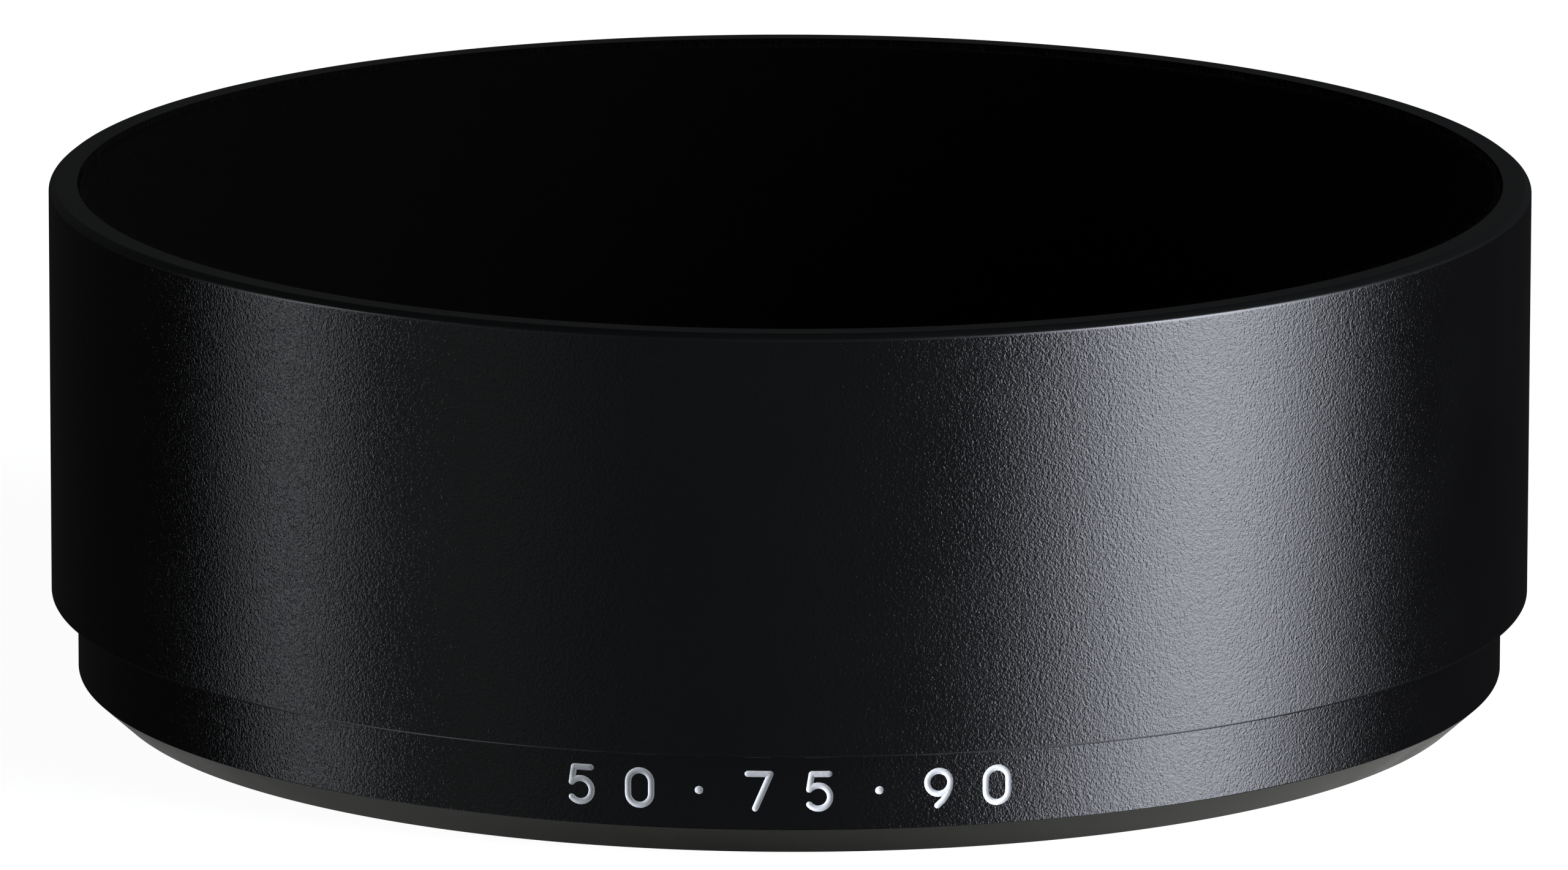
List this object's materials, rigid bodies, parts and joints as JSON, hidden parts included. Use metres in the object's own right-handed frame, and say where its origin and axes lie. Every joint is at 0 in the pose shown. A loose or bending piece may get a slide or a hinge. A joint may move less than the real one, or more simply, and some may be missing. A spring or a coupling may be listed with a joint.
{
  "type": "lens hood",
  "caption": "Round black metal lens hood with a stepped collar, flocked bore and a sprung bayonet that clips it on a lens rim.",
  "frame": {"origin": "centre of the mount end's flat bottom face, on the hood's axis", "axes": "+Z along the hood's axis from the lens towards the open front rim; -Y towards the viewer of the picture"},
  "size_m": [0.07, 0.07, 0.0248],
  "materials": {
    "barrel_paint": "satin black fine-grained paint on aluminium",
    "collar_paint": "satin black fine-grained paint on aluminium",
    "ring_anodise": "smooth black anodised aluminium",
    "flock": "deep black flocked velvet",
    "spring_bronze": "rolled phosphor bronze",
    "screw_steel": "blackened steel",
    "pin_steel": "ground steel"
  },
  "bodies": {
    "hood": {"hood_barrel": "barrel_paint", "barrel_lining": "flock", "rear_lining": "flock", "mount_collar": "collar_paint", "bayonet_ring": "ring_anodise", "spring_screw_1": "screw_steel", "spring_screw_2": "screw_steel", "spring_screw_3": "screw_steel", "ring_screw_1": "screw_steel", "ring_screw_2": "screw_steel", "ring_screw_3": "screw_steel", "ring_screw_4": "screw_steel", "ring_screw_5": "screw_steel", "ring_screw_6": "screw_steel", "lock_screw_1": "screw_steel", "lock_screw_2": "screw_steel", "lock_screw_3": "screw_steel", "stop_pin": "pin_steel"},
    "spring_1": {"leaf_spring_1": "spring_bronze"},
    "spring_2": {"leaf_spring_2": "spring_bronze"},
    "spring_3": {"leaf_spring_3": "spring_bronze"}
  },
  "joints": [
    {"name": "spring_1_flex", "type": "hinge", "parent": "hood", "child": "spring_1", "pos_m": [0.00541, 0.02783, 0.00398], "axis": [0.1908, 0.9816, 0], "range_deg": [0, 2.86], "stiffness_Nm_per_rad": 0.077},
    {"name": "spring_2_flex", "type": "hinge", "parent": "hood", "child": "spring_2", "pos_m": [-0.02681, -0.00923, 0.00398], "axis": [-0.9455, -0.3256, 0], "range_deg": [0, 2.86], "stiffness_Nm_per_rad": 0.077},
    {"name": "spring_3_flex", "type": "hinge", "parent": "hood", "child": "spring_3", "pos_m": [0.0214, -0.0186, 0.00398], "axis": [0.7547, -0.6561, 0], "range_deg": [0, 2.86], "stiffness_Nm_per_rad": 0.077}
  ]
}
